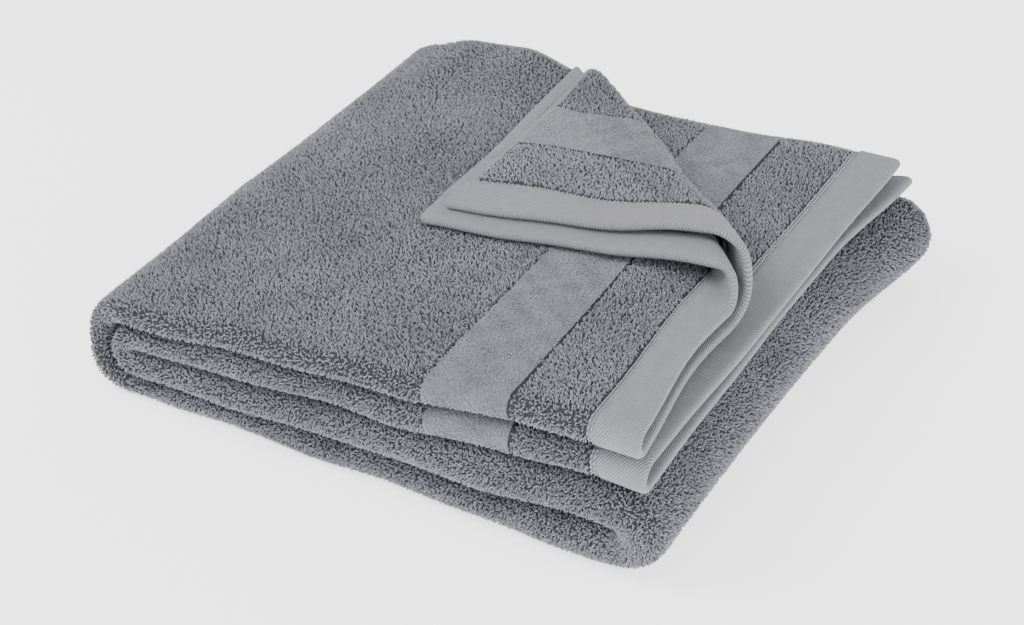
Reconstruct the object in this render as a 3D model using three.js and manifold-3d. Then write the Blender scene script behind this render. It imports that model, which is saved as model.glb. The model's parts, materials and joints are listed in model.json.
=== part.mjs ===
// A terry bath towel, folded in half across its width and in four along its length, with the free corner of the
// top leaf turned back over it.
//
// Millimetres, +Z up. The origin is on the ground under the middle of the folded stack. The two woven ends of the
// towel lie at +X, the lengthwise fold at -Y and the two long edges at +Y.
//
// Folded in half, the towel is a strip of two plies. The strip starts at the end on top of the stack, runs to -X as
// the top leaf, turns down round the outside of the stack, comes back as the bottom leaf, turns up at +X, goes to -X
// as the third leaf, turns up again inside the first turn and ends as the second leaf.
import * as THREE from "three";
import { mergeVertices } from "three/addons/utils/BufferGeometryUtils.js";
import Module from "manifold-3d";

const wasm = await Module();
wasm.setup();

// The flat towel and its weaves
const towelLength = 1380;
const towelWidth = 676;
const endHemWidth = 26;
const borderWidth = 47; // loop pile between the end hem and the band
const bandWidth = 50; // sheared pile
const sideHemWidth = 10;
const hemThickness = 4.6; // a hem is flat weave folded over on itself
const threadWidth = 1;
const threadProud = 0.4; // how far the sewing thread stands out of the hem's face

// The folded stack: each leaf's thickness, two plies together, at the corners of the stack
const leaves = {
  bottom: { leftFront: 15.5, rightFront: 29.5, leftBack: 18.5, rightBack: 28.5 },
  third: { leftFront: 15.5, rightFront: 29, leftBack: 18.5, rightBack: 27.5 },
  second: { leftFront: 15.5, rightFront: 22.5, leftBack: 19, rightBack: 22 },
  top: { leftFront: 16, rightFront: 20, leftBack: 15, rightBack: 13 },
};
// How far each leaf's lengthwise fold lies back from the front of the stack
const setBack = { bottom: 6, third: 0, second: 1.5, top: 0 };
const plyGap = 0.8; // between the two plies of a leaf
const leafGap = 0.6; // between leaves that lie on each other
const pieceGap = 0.4; // between pieces that are joined side by side
// How far the strip's middle swings out in each fold, at the front and at the back of the stack
const reach = {
  outer: { front: 22, back: 22 },
  inner: { front: 11, back: 11 },
  right: { front: 16, back: 25 },
};
const foldNest = 1.6; // room between the inner fold and the outer fold that goes round it
const rightFoldPast = 9; // how far the right-hand fold stands out past the woven ends, at the front
const frontFoldRadius = 5; // of the lengthwise fold, at the middle of a ply

// The turned-back corner
const turnedSide = 216.5; // how much of the long edge is turned back
const turnedEnd = 216.5; // how much of the woven end is turned back
const creaseRadius = 3; // of the bend, at the middle of the ply that is inside it
const turnedLift = 1.2; // degrees that the corner stands off the leaf it lies on

const foldSteps = 8; // in each half turn

// ---------------------------------------------------------------- sizes of the stack that follow from the above
const leftOf = (leaf) => (leaf.leftFront + leaf.leftBack) / 2;
const rightOf = (leaf) => (leaf.rightFront + leaf.rightBack) / 2;
const meanReach = (fold) => (fold.front + fold.back) / 2;
const arcLength = (out, rise) => Math.PI * Math.sqrt((out ** 2 + (rise / 2) ** 2) / 2);

const foldLength = {
  outer: arcLength(
    meanReach(reach.outer),
    (leftOf(leaves.bottom) + leftOf(leaves.top)) / 2 + leftOf(leaves.third) + leftOf(leaves.second),
  ),
  inner: arcLength(meanReach(reach.inner), (leftOf(leaves.third) + leftOf(leaves.second)) / 2),
  right: arcLength(meanReach(reach.right), (rightOf(leaves.bottom) + rightOf(leaves.third)) / 2),
};

// The straight runs, and where they end
const outerFoldHalfThick = (leftOf(leaves.top) + leftOf(leaves.bottom)) / 4;
const innerStart = reach.inner.front + leftOf(leaves.third) / 2 + foldNest - (reach.outer.front - outerFoldHalfThick);
const rightStart = reach.right.front + rightOf(leaves.bottom) / 2 - rightFoldPast;
const inTurns = foldLength.outer + foldLength.inner + foldLength.right;
const topRun = (towelLength - inTurns + 2 * rightStart + 2 * innerStart) / 4;

const xOuter = 0;
const xEnds = xOuter + topRun;
const xInner = xOuter + innerStart;
const xRight = xEnds - rightStart;

const foldedWidth = (towelWidth - Math.PI * frontFoldRadius) / 2 + 2 * frontFoldRadius;
const yFront = 0;
const yBack = foldedWidth;

// ---------------------------------------------------------------- heights
const lerp = THREE.MathUtils.lerp;
const backShare = (y) => (y - yFront) / (yBack - yFront);

// A surface between its four corner heights, at any place on the stack
function spread(corners, x, y) {
  const u = (x - xOuter) / (xEnds - xOuter);
  const front = lerp(corners.leftFront, corners.rightFront, u);
  const back = lerp(corners.leftBack, corners.rightBack, u);
  return lerp(front, back, backShare(y));
}

const eachCorner = (make) =>
  Object.fromEntries(["leftFront", "rightFront", "leftBack", "rightBack"].map((c) => [c, make(c)]));

// The underside of each leaf, at the corners
const under = {};
under.bottom = eachCorner(() => 0);
under.third = eachCorner((c) => under.bottom[c] + leaves.bottom[c] + leafGap);
under.second = eachCorner((c) => under.third[c] + leaves.third[c] + leafGap);
under.top = eachCorner((c) => under.second[c] + leaves.second[c] + leafGap);
// The top leaf is a plane, so that its corner can turn over onto it
under.top.rightBack = under.top.rightFront + under.top.leftBack - under.top.leftFront;

const thickness = (leaf, x, y) => spread(leaves[leaf], x, y);
const middle = (leaf, x, y) => spread(under[leaf], x, y) + thickness(leaf, x, y) / 2;

// ---------------------------------------------------------------- the folded strip
// Each stretch of the strip gives, at a share t of its length and at y, its middle, its half thickness, where its
// lengthwise fold starts and the way from its middle to the ply that is outermost at the left-hand end.
function leafRun(leaf, xFrom, xTo, outward) {
  return (t, y) => {
    const x = lerp(xFrom, xTo, t);
    const half = thickness(leaf, x, y) / 2;
    return { x, z: middle(leaf, x, y), half, start: yFront + setBack[leaf], nx: 0, nz: outward };
  };
}

// side is 1 for a fold at the right and -1 for one at the left
function foldRun(leafFrom, leafTo, xStart, fold, side, outwardX, outwardFrom) {
  return (t, y) => {
    const angle = Math.PI * t;
    const from = middle(leafFrom, xStart, y);
    const to = middle(leafTo, xStart, y);
    return {
      x: xStart + side * lerp(fold.front, fold.back, backShare(y)) * Math.sin(angle),
      z: (from + to) / 2 + ((from - to) / 2) * Math.cos(angle),
      half: lerp(thickness(leafFrom, xStart, y), thickness(leafTo, xStart, y), t) / 2,
      start: yFront + lerp(setBack[leafFrom], setBack[leafTo], t),
      nx: outwardX * Math.sin(angle),
      nz: outwardFrom * Math.cos(angle),
    };
  };
}

const outerFold = foldRun("top", "bottom", xOuter, reach.outer, -1, -1, 1);
const rightFold = foldRun("bottom", "third", xRight, reach.right, 1, 1, -1);
const innerFold = foldRun("third", "second", xInner, reach.inner, -1, 1, 1);

// The point at y, an offset from the strip's middle towards its outer ply
function onStrip(run, t, y, offset) {
  const at = run(t, y);
  return new THREE.Vector3(at.x + at.nx * offset, y, at.z + at.nz * offset);
}

// ---------------------------------------------------------------- solids from sections
// Joins sections of equal length into one closed solid. A section lists its points in pairs, one on each face.
function loft(sections) {
  const pairs = sections[0].length;
  const position = sections.flatMap((section) => section.flatMap(([a, b]) => [...a.toArray(), ...b.toArray()]));
  const corner = (section, pair, side) => (section * pairs + pair) * 2 + side;
  const index = [];
  const quad = (a, b, c, d) => index.push(a, b, c, a, c, d);
  const last = sections.length - 1;
  for (let s = 0; s < last; s++) {
    for (let p = 0; p < pairs - 1; p++) {
      quad(corner(s, p, 0), corner(s, p + 1, 0), corner(s + 1, p + 1, 0), corner(s + 1, p, 0));
      quad(corner(s, p, 1), corner(s + 1, p, 1), corner(s + 1, p + 1, 1), corner(s, p + 1, 1));
    }
    quad(corner(s, 0, 0), corner(s + 1, 0, 0), corner(s + 1, 0, 1), corner(s, 0, 1));
    const end = pairs - 1;
    quad(corner(s, end, 0), corner(s, end, 1), corner(s + 1, end, 1), corner(s + 1, end, 0));
  }
  for (let p = 0; p < pairs - 1; p++) {
    quad(corner(0, p, 0), corner(0, p, 1), corner(0, p + 1, 1), corner(0, p + 1, 0));
    quad(corner(last, p, 0), corner(last, p + 1, 0), corner(last, p + 1, 1), corner(last, p, 1));
  }
  const geometry = new THREE.BufferGeometry();
  geometry.setAttribute("position", new THREE.Float32BufferAttribute(position, 3));
  geometry.setIndex(facingOut(position, index));
  return geometry;
}

// The faces, turned round if they point inwards
function facingOut(position, index) {
  const at = (i) => new THREE.Vector3().fromArray(position, i * 3);
  let volume = 0;
  for (let i = 0; i < index.length; i += 3) {
    volume += at(index[i]).dot(at(index[i + 1]).cross(at(index[i + 2])));
  }
  return volume < 0 ? index.reverse() : index;
}

// How far a layer's two faces are from the strip's middle. A hem or thread lies at the middle of its ply.
function layer(half, thick) {
  if (!thick) return [plyGap / 2, half];
  const centre = (half + plyGap / 2) / 2;
  return [centre - thick / 2, centre + thick / 2];
}

const shares = (from, to, steps) => Array.from({ length: steps + 1 }, (_, i) => from + ((to - from) * i) / steps);

// Both plies and the lengthwise fold that joins them, from t0 to t1 of a run
function doublePly(run, t0, t1, steps, thick, yEdge) {
  const frontTurns = shares(Math.PI / 2, -Math.PI / 2, foldSteps);
  return loft(
    shares(t0, t1, steps).map((t) => {
      const front = run(t, yFront);
      const yTurn = front.start + front.half;
      const half = run(t, yTurn).half;
      const turn = (angle, o) => onStrip(run, t, yTurn - o * Math.cos(angle), o * Math.sin(angle));
      const turned = frontTurns.map((angle) => layer(half, thick).map((o) => turn(angle, o)));
      const edge = (side) => layer(run(t, yEdge).half, thick).map((o) => onStrip(run, t, yEdge, side * o));
      return [edge(1), ...turned, edge(-1)];
    }),
  );
}

// One ply alone, between two values of y. side is 1 for the outer ply and -1 for the inner one.
function singlePly(run, t0, t1, steps, side, yFrom, yTo, thick) {
  return loft(
    shares(t0, t1, steps).map((t) =>
      [yFrom, yTo].map((y) => layer(run(t, y).half, thick).map((o) => onStrip(run, t, y, side * o))),
    ),
  );
}

// ---------------------------------------------------------------- cutting along the crease
function solidOf(geometry) {
  const bare = new THREE.BufferGeometry();
  bare.setAttribute("position", geometry.getAttribute("position"));
  bare.setIndex(geometry.index);
  const merged = mergeVertices(bare, 1e-4);
  return new wasm.Manifold(
    new wasm.Mesh({
      numProp: 3,
      vertProperties: merged.getAttribute("position").array,
      triVerts: new Uint32Array(merged.index.array),
    }),
  );
}

function geometryOf(solid) {
  const mesh = solid.getMesh();
  const geometry = new THREE.BufferGeometry();
  geometry.setAttribute("position", new THREE.BufferAttribute(mesh.vertProperties, 3));
  geometry.setIndex(new THREE.BufferAttribute(mesh.triVerts, 1));
  return geometry;
}

const xCrease = xEnds - turnedSide; // at the back edge
const yCrease = yBack - turnedEnd; // at the woven end
const topFace = (x, y) => spread(under.top, x, y) + thickness("top", x, y);
const creaseBack = new THREE.Vector3(xCrease, yBack, topFace(xCrease, yBack) + leafGap);
const creaseEnd = new THREE.Vector3(xEnds, yCrease, topFace(xEnds, yCrease) + leafGap);
const creaseAxis = creaseEnd.clone().sub(creaseBack).normalize();

const along = new THREE.Vector2(creaseAxis.x, creaseAxis.y).normalize();
const towardsCorner = new THREE.Vector2(-along.y, along.x);

// An upright block on one side of the crease: 1 is the turned corner's side, -1 is the side that stays. The block
// starts at a distance from the crease.
function creaseSide(side, distance) {
  const size = topRun + foldedWidth;
  const across = towardsCorner.clone().multiplyScalar(side);
  const start = new THREE.Vector2(xCrease, yBack).addScaledVector(across, distance + pieceGap / 2);
  const corners = [
    start.clone().addScaledVector(along, -size),
    start.clone().addScaledVector(along, size),
    start.clone().addScaledVector(along, size).addScaledVector(across, size),
    start.clone().addScaledVector(along, -size).addScaledVector(across, size),
  ];
  const block = new THREE.ExtrudeGeometry(new THREE.Shape(corners), { depth: size, bevelEnabled: false });
  block.deleteAttribute("normal");
  block.deleteAttribute("uv");
  return solidOf(mergeVertices(block, 1e-4));
}

const stayBlock = creaseSide(-1, 0);
const cutBy = (block, geometry) => geometryOf(solidOf(geometry).intersect(block));

// ---------------------------------------------------------------- materials
const cotton = (colour, roughness) => new THREE.MeshStandardMaterial({ color: colour, roughness, metalness: 0 });
const materials = {
  loopPile: cotton(0x6f7079, 1),
  shearedPile: cotton(0x7d7f87, 0.95),
  flatWeave: cotton(0x94969b, 0.85),
  thread: cotton(0x85878c, 0.8),
};

const towel = new THREE.Group();

function add(group, name, geometry, material) {
  const mesh = new THREE.Mesh(geometry, material);
  mesh.name = name;
  group.add(mesh);
}

// ---------------------------------------------------------------- the weaves along a leaf that ends in a hem
const yPile = yBack - sideHemWidth - pieceGap; // where the pile stops at the long edge
const weaves = [
  { name: "end_hem", width: endHemWidth, material: materials.flatWeave, thick: hemThickness },
  { name: "end_hem_thread", width: threadWidth, material: materials.thread, thick: hemThickness + 2 * threadProud },
  { name: "border_pile", width: borderWidth, material: materials.loopPile },
  { name: "sheared_band", width: bandWidth, material: materials.shearedPile },
];

// Each weave with where it starts and stops along x. The field takes what is left, back to xFieldEnd.
function placedWeaves(xFieldEnd) {
  let x = xEnds;
  const placed = weaves.map((weave) => {
    const from = x;
    x -= weave.width;
    const to = x;
    x -= pieceGap;
    return { ...weave, from, to };
  });
  placed.push({ name: "field_pile", from: x, to: xFieldEnd, material: materials.loopPile });
  return placed;
}

// ---------------------------------------------------------------- the second leaf: the strip's other end
function secondLeaf() {
  const run = leafRun("second", xInner, xEnds, -1);
  const share = (x) => (x - xInner) / (xEnds - xInner);
  for (const { name, from, to, material, thick } of placedWeaves(xInner + pieceGap)) {
    const toEdge = name.startsWith("end_hem") ? yBack : yPile;
    add(towel, `second_leaf_${name}`, doublePly(run, share(to), share(from), 1, thick, toEdge), material);
  }
  addSideHems("second_leaf", run, share(xInner + pieceGap), share(xEnds - endHemWidth - threadWidth - 2 * pieceGap), 1);
}

// The narrow hems along the long edge of both plies
function addSideHems(name, run, t0, t1, steps) {
  const yHem = yBack - sideHemWidth;
  for (const [ply, side] of [["outer", 1], ["inner", -1]]) {
    const hem = singlePly(run, t0, t1, steps, side, yHem, yBack, hemThickness);
    add(towel, `${name}_side_hem_${ply}_ply`, hem, materials.flatWeave);
  }
}

// ---------------------------------------------------------------- leaves and folds of plain loop pile
function plainStretch(name, run, length, steps) {
  const trim = pieceGap / 2 / length;
  add(towel, `${name}_pile`, doublePly(run, trim, 1 - trim, steps, 0, yPile), materials.loopPile);
  addSideHems(name, run, trim, 1 - trim, steps);
}

// The outer fold joins the bottom leaf to the top one, so it is in two halves that meet where the stack opens
function outerFoldHalf(name, t0, t1) {
  const trim = pieceGap / 2 / foldLength.outer;
  const steps = foldSteps / 2;
  add(towel, `${name}_pile`, doublePly(outerFold, t0 + trim, t1 - trim, steps, 0, yPile), materials.loopPile);
  addSideHems(name, outerFold, t0 + trim, t1 - trim, steps);
}

// ---------------------------------------------------------------- the top leaf, up to the crease
function topLeaf() {
  const run = leafRun("top", xEnds, xOuter, 1);
  const share = (x) => (xEnds - x) / (xEnds - xOuter);
  for (const { name, from, to, material, thick } of placedWeaves(xOuter + pieceGap)) {
    const toEdge = name.startsWith("end_hem") ? yBack : yPile;
    const whole = doublePly(run, share(from), share(to), 1, thick, toEdge);
    add(towel, `top_leaf_${name}`, cutBy(stayBlock, whole), material);
  }
  const yHem = yBack - sideHemWidth;
  for (const [ply, side] of [["outer", 1], ["inner", -1]]) {
    const hem = singlePly(run, 0, share(xOuter + pieceGap), 1, side, yHem, yBack, hemThickness);
    add(towel, `top_leaf_side_hem_${ply}_ply`, cutBy(stayBlock, hem), materials.flatWeave);
  }
}

// ---------------------------------------------------------------- the turned-back corner
// Its pieces are made where they were before it was turned, and a group turns them over the crease. The bend itself
// takes up some of each ply, so the corner is cut that far from the crease and moved up to it.
function turnedCorner() {
  const corner = new THREE.Group();
  corner.position.copy(creaseBack);
  corner.quaternion.setFromAxisAngle(creaseAxis, THREE.MathUtils.degToRad(180 - turnedLift));
  towel.add(corner);
  const run = leafRun("top", xEnds, xOuter, 1);
  const share = (x) => (xEnds - x) / (xEnds - xOuter);
  const xMiddle = (xCrease + xEnds) / 2;
  const yMiddle = (yCrease + yBack) / 2;
  const plyPitch = (thickness("top", xMiddle, yMiddle) + plyGap) / 2;
  for (const [ply, side, radius] of [["outer", 1, creaseRadius], ["inner", -1, creaseRadius + plyPitch]]) {
    const bendTakes = Math.PI * radius;
    const cornerBlock = creaseSide(1, bendTakes);
    const move = towardsCorner.clone().multiplyScalar(-bendTakes);
    const rise = middle("top", xMiddle, yMiddle) - middle("top", xMiddle - move.x, yMiddle - move.y);
    const addPly = (name, geometry, material) => {
      const moved = cutBy(cornerBlock, geometry);
      moved.translate(move.x, move.y, rise);
      moved.translate(-creaseBack.x, -creaseBack.y, -creaseBack.z);
      add(corner, name, moved, material);
    };
    for (const { name, from, to, material, thick } of placedWeaves(xOuter + pieceGap)) {
      const toEdge = name.startsWith("end_hem") ? yBack : yPile;
      const whole = singlePly(run, share(from), share(to), 1, side, yFront, toEdge, thick);
      addPly(`corner_${name}_${ply}_ply`, whole, material);
    }
    const xHemStart = xEnds - endHemWidth - threadWidth - 2 * pieceGap;
    const hem = singlePly(run, share(xHemStart), 1, 1, side, yBack - sideHemWidth, yBack, hemThickness);
    addPly(`corner_side_hem_${ply}_ply`, hem, materials.flatWeave);
  }
}

plainStretch("bottom_leaf", leafRun("bottom", xOuter, xRight, -1), xRight - xOuter, 1);
plainStretch("right_fold", rightFold, foldLength.right, foldSteps);
plainStretch("third_leaf", leafRun("third", xRight, xInner, 1), xRight - xInner, 1);
plainStretch("inner_fold", innerFold, foldLength.inner, foldSteps);
secondLeaf();
outerFoldHalf("outer_fold_lower_half", 0.5, 1);
outerFoldHalf("outer_fold_upper_half", 0, 0.5);
topLeaf();
turnedCorner();

// The origin goes to the ground under the middle
const box = new THREE.Box3().setFromObject(towel, true);
const centre = box.getCenter(new THREE.Vector3());
towel.position.set(-centre.x, -centre.y, -box.min.z);

export default towel;
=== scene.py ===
import json
import math

import bmesh
import bpy
import numpy as np
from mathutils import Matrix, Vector


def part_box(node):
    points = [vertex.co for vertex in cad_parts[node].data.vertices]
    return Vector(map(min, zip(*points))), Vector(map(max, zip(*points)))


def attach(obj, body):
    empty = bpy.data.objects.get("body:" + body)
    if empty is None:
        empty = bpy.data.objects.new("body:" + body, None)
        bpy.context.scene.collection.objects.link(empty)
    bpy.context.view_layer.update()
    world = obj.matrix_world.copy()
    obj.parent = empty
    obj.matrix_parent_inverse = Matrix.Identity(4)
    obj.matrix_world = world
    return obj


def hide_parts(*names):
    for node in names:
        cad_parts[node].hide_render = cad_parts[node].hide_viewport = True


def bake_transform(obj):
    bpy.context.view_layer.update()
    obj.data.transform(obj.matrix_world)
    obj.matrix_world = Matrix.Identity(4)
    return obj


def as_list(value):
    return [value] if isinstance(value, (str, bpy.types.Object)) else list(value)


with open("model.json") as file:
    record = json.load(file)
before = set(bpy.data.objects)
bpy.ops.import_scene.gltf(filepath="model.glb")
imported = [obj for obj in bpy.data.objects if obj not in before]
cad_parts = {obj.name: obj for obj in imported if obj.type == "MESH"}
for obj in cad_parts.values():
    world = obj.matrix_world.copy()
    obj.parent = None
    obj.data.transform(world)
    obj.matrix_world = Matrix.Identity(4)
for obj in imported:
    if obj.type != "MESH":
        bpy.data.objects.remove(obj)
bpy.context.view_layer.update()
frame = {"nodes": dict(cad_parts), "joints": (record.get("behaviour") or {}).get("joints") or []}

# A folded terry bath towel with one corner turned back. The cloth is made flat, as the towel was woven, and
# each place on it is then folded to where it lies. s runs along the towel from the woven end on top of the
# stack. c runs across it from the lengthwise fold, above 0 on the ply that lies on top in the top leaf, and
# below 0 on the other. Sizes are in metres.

MM = 0.001
random = np.random.default_rng(7)

# ------------------------------------------------------------------ the stack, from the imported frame
X_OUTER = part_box("bottom_leaf_pile")[0][0]
X_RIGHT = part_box("bottom_leaf_pile")[1][0]
X_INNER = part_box("third_leaf_pile")[0][0]
X_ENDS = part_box("second_leaf_end_hem")[1][0]
Y_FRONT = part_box("third_leaf_pile")[0][1]
Y_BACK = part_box("second_leaf_side_hem_outer_ply")[1][1]
CREASE = next(j for j in frame["joints"] if j["name"] == "corner_unfolds")
PIVOT = np.array(CREASE["pos_m"])
ALONG = -np.array(CREASE["axis"])  # the crease, from the long edge to the woven end

# Each leaf's thickness at the left front, right front, left back and right back of the stack
THICK = {
    "bottom": np.array([15.5, 29.5, 18.5, 28.5]) * MM,
    "third": np.array([15.5, 29.0, 18.5, 27.5]) * MM,
    "second": np.array([15.5, 22.5, 19.0, 22.0]) * MM,
    "top": np.array([16.0, 20.0, 15.0, 13.0]) * MM,
}
LEAF_GAP = 0.6 * MM
SET_BACK = {"bottom": 6 * MM, "third": 0.0, "second": 1.5 * MM, "top": 0.0}
# How far each fold's middle swings out, at the front and at the back
REACH = {"outer": (22 * MM, 22 * MM), "right": (16 * MM, 25 * MM), "inner": (11 * MM, 11 * MM)}

# ------------------------------------------------------------------ the cloth
PLY = 8.4 * MM  # one ply with the loops on both faces
BODY = 1.8 * MM  # half of the woven ground under the loops
VELOUR = 2.5 * MM  # half of the cloth under the sheared tufts
HEM = 2.5 * MM  # half of the flat hem at the woven end
HEM_OUT = 1.0 * MM  # how far the hem stands outward of the middle of the ply, level with the loops
ROUND = 5 * MM  # the radius of the towel's corners
HEM_END = 26 * MM  # the places of the weaves, from the woven end
SEAM_END = 30.5 * MM
BORDER_END = 75 * MM
BAND_END = 125 * MM
SIDE_RIM = 4 * MM  # of the side hem that shows on the face with the pile up to the edge
SIDE_HEM = 9.5 * MM
CREASE_RADIUS = 3 * MM
CREASE_REACH = 55 * MM  # how far from the crease its wandering is felt
SETTLE = 55 * MM  # how far from the crease the turned corner comes down onto the top leaf
FLAP_SQUEEZE = 0.25  # how much closer the two plies lie in the turned corner

UNDER = {"bottom": np.zeros(4)}
for below, leaf in (("bottom", "third"), ("third", "second"), ("second", "top")):
    UNDER[leaf] = UNDER[below] + THICK[below] + LEAF_GAP
# The top leaf's underside is one plane, which its other three corners give
UNDER["top"][3] = UNDER["top"][1] + UNDER["top"][2] - UNDER["top"][0]


def mix(a, b, t):
    return a + (b - a) * t


def ease(t):
    t = np.clip(t, 0, 1)
    return t * t * (3 - 2 * t)


def spread(corners, x, y):
    """A height between the four corners of the stack."""
    u = (x - X_OUTER) / (X_ENDS - X_OUTER)
    v = (y - Y_FRONT) / (Y_BACK - Y_FRONT)
    return mix(mix(corners[0], corners[1], u), mix(corners[2], corners[3], u), v)


def half_of(leaf, x, y):
    return spread(THICK[leaf], x, y) / 2


def middle_of(leaf, x, y):
    return spread(UNDER[leaf], x, y) + half_of(leaf, x, y)


# ------------------------------------------------------------------ the folded strip
def leaf_run(leaf, x_from, x_to, outward):
    """A straight run of the strip: its length, and the function that gives strip() its values along it."""
    def at(t, y):
        x = mix(x_from, x_to, t)
        still = np.zeros_like(x + y)
        middle = middle_of(leaf, x, y)
        return x + still, middle, half_of(leaf, x, y), still + SET_BACK[leaf], still, still + outward

    return abs(x_to - x_from), at


def fold_run(fold, leaf_from, leaf_to, x_start, side, out_x, out_from):
    """A half turn of the strip from one leaf to another, given as leaf_run() gives a straight run."""
    def at(t, y):
        v = (y - Y_FRONT) / (Y_BACK - Y_FRONT)
        angle = np.pi * t
        z0, z1 = middle_of(leaf_from, x_start, y), middle_of(leaf_to, x_start, y)
        x = x_start + side * mix(*REACH[fold], v) * np.sin(angle)
        z = (z0 + z1) / 2 + (z0 - z1) / 2 * np.cos(angle)
        half = mix(half_of(leaf_from, x_start, y), half_of(leaf_to, x_start, y), t)
        start = mix(SET_BACK[leaf_from], SET_BACK[leaf_to], t) + 0 * y
        return x, z, half, start, out_x * np.sin(angle), out_from * np.cos(angle)

    y = (Y_FRONT + Y_BACK) / 2
    rise = middle_of(leaf_from, x_start, y) - middle_of(leaf_to, x_start, y)
    reach = sum(REACH[fold]) / 2
    return math.pi * math.sqrt((reach**2 + (rise / 2) ** 2) / 2), at


RUNS = {
    "top": leaf_run("top", X_ENDS, X_OUTER, 1),
    "outer": fold_run("outer", "top", "bottom", X_OUTER, -1, -1, 1),
    "bottom": leaf_run("bottom", X_OUTER, X_RIGHT, -1),
    "right": fold_run("right", "bottom", "third", X_RIGHT, 1, 1, -1),
    "third": leaf_run("third", X_RIGHT, X_INNER, 1),
    "inner": fold_run("inner", "third", "second", X_INNER, -1, 1, 1),
    "second": leaf_run("second", X_INNER, X_ENDS, -1),
}
STARTS = dict(zip(RUNS, np.cumsum([0] + [length for length, _ in RUNS.values()])))
TOWEL_LENGTH = sum(length for length, _ in RUNS.values())


def strip(s, y):
    """The middle of the folded strip: x, z, half its thickness, its set-back, and the way to its outer ply.

    The way is two numbers, along x and along z."""
    found = np.zeros((6, *np.broadcast(s, y).shape))
    last = list(RUNS)[-1]
    for name, (length, at) in RUNS.items():
        here = (s >= STARTS[name]) & (s < STARTS[name] + length)
        if name == "top":
            here |= s < 0
        if name == last:
            here |= s >= STARTS[name]
        if here.any():
            found[:, here] = at(((s - STARTS[name]) / length)[here], y[here])
    return found


def front_turn(s):
    """The radius of the lengthwise fold, at the middle of a ply, and where that ply starts."""
    _, _, half, start, _, _ = strip(s, np.full_like(s, Y_FRONT))
    return half - PLY / 2, Y_FRONT + start + PLY / 2


def towel_half_width():
    radius, start = front_turn(np.array([STARTS["second"] + 0.1]))
    return float(Y_BACK - start[0] - radius[0] + radius[0] * math.pi / 2)


HALF_WIDTH = towel_half_width()

LEVEL = np.array([ALONG[0], ALONG[1]]) / math.hypot(ALONG[0], ALONG[1])
TO_CORNER = np.array([-LEVEL[1], LEVEL[0]])
CREASE_HALF = math.hypot(X_ENDS - PIVOT[0], PIVOT[1] - Y_BACK)
FRONT = 26 * MM  # beside the lengthwise fold, the width that is made fine on both plies
STACK_FRONT = 24 * MM  # the same width, for the loops of the lower leaves and folds
AWAY_FROM_FRONT = 60 * MM  # a cut leaves what is nearer to the lengthwise fold


def inside_radius(beside):
    """The radius of the bend inside the crease, which opens into a loose loop at the woven end."""
    return CREASE_RADIUS * (1 + 1.3 * ease(beside / CREASE_HALF))


def bend_radius(side, beside):
    """The radius of the bend at the middle of a ply. side is 1 for the inner ply and -1 for the outer one."""
    x, y = PIVOT[:2] + beside * LEVEL
    return float(inside_radius(beside) + (1 - side) * (half_of("top", x, y) - PLY / 2))


def turn_back(x, y, offset):
    """Folds what lies past the crease back over the top leaf.

    offset is how far above the leaf's middle it was."""
    past = (x - PIVOT[0]) * TO_CORNER[0] + (y - PIVOT[1]) * TO_CORNER[1]
    beside = (x - PIVOT[0]) * LEVEL[0] + (y - PIVOT[1]) * LEVEL[1]
    middle_radius = inside_radius(beside) + np.abs(offset)
    radius = np.maximum(middle_radius - offset, 1e-6)
    angle = np.clip(past / radius, 0, np.pi)
    beyond = np.maximum(past - np.pi * radius, 0)
    across = np.where(past <= 0, past, radius * np.sin(angle) - beyond)
    squeezed = offset * (1 - FLAP_SQUEEZE * ease(beyond / SETTLE))
    folded_x = PIVOT[0] + beside * LEVEL[0] + across * TO_CORNER[0]
    folded_y = PIVOT[1] + beside * LEVEL[1] + across * TO_CORNER[1]
    rest = half_of("top", folded_x, folded_y) + np.abs(squeezed) + PLY / 2
    lifted = middle_radius - radius * np.cos(angle)
    settled = mix(2 * middle_radius, rest, ease(beyond / SETTLE)) - squeezed
    height = np.where(past <= 0, offset, np.where(angle < np.pi, lifted, settled))
    level = beside / CREASE_HALF
    near = np.exp(-((across / CREASE_REACH) ** 2))
    moved = -near * MM * (2 + 2.5 * level + 10.5 * level**2)
    height = height + near * MM * ease(level) * (2.5 + 4 * np.tanh((height - middle_radius) / (4 * MM)))
    new_x = folded_x + moved * TO_CORNER[0]
    new_y = folded_y + moved * TO_CORNER[1]
    return new_x, new_y, middle_of("top", folded_x, folded_y) + height


def settle_unevenly(point):
    """Lets the whole towel lie a little unevenly, and its folded front edge wander."""
    x, y, z = point[..., 0], point[..., 1], point[..., 2]
    out = point.copy()
    swell = 1.3 * np.sin(29 * x + 17 * y + 1.0) + 0.9 * np.sin(47 * x - 36 * y + 2.2)
    out[..., 2] += np.clip(z / 0.1, 0, 1.2) * MM * (swell + 0.5 * np.sin(90 * x + 61 * y))
    # The folded front edge wanders, and its lower left stands out
    edge = ease((Y_FRONT + 0.05 - y) / 0.05)
    out[..., 1] += edge * MM * (1.2 * np.sin(41 * x + 60 * z) + 0.8 * np.sin(83 * x - 90 * z + 1.4))
    out[..., 1] -= edge * 4 * MM * ease((-0.09 - x) / 0.04) * ease((0.035 - z) / 0.025)
    # The back edge is raised at the left
    back_left = ease((y - 0.095) / 0.07) * ease((x + 0.165) / 0.045) * (1 - ease((x + 0.085) / 0.045))
    out[..., 2] += 12.5 * MM * back_left * z / 0.075
    # The right-hand fold goes in at the middle, and swings out and up at the back
    right = ease((x - 0.14) / 0.03) * (1 - ease((z - 0.062) / 0.01))
    back = ease((y - 0.08) / 0.09)
    out[..., 0] += right * MM * (9 * back - 5 * np.cos(np.pi * y / (Y_BACK - Y_FRONT)))
    out[..., 2] += right * back * 7 * MM * np.clip(z / 0.04, 0, 1)
    return out


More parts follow.
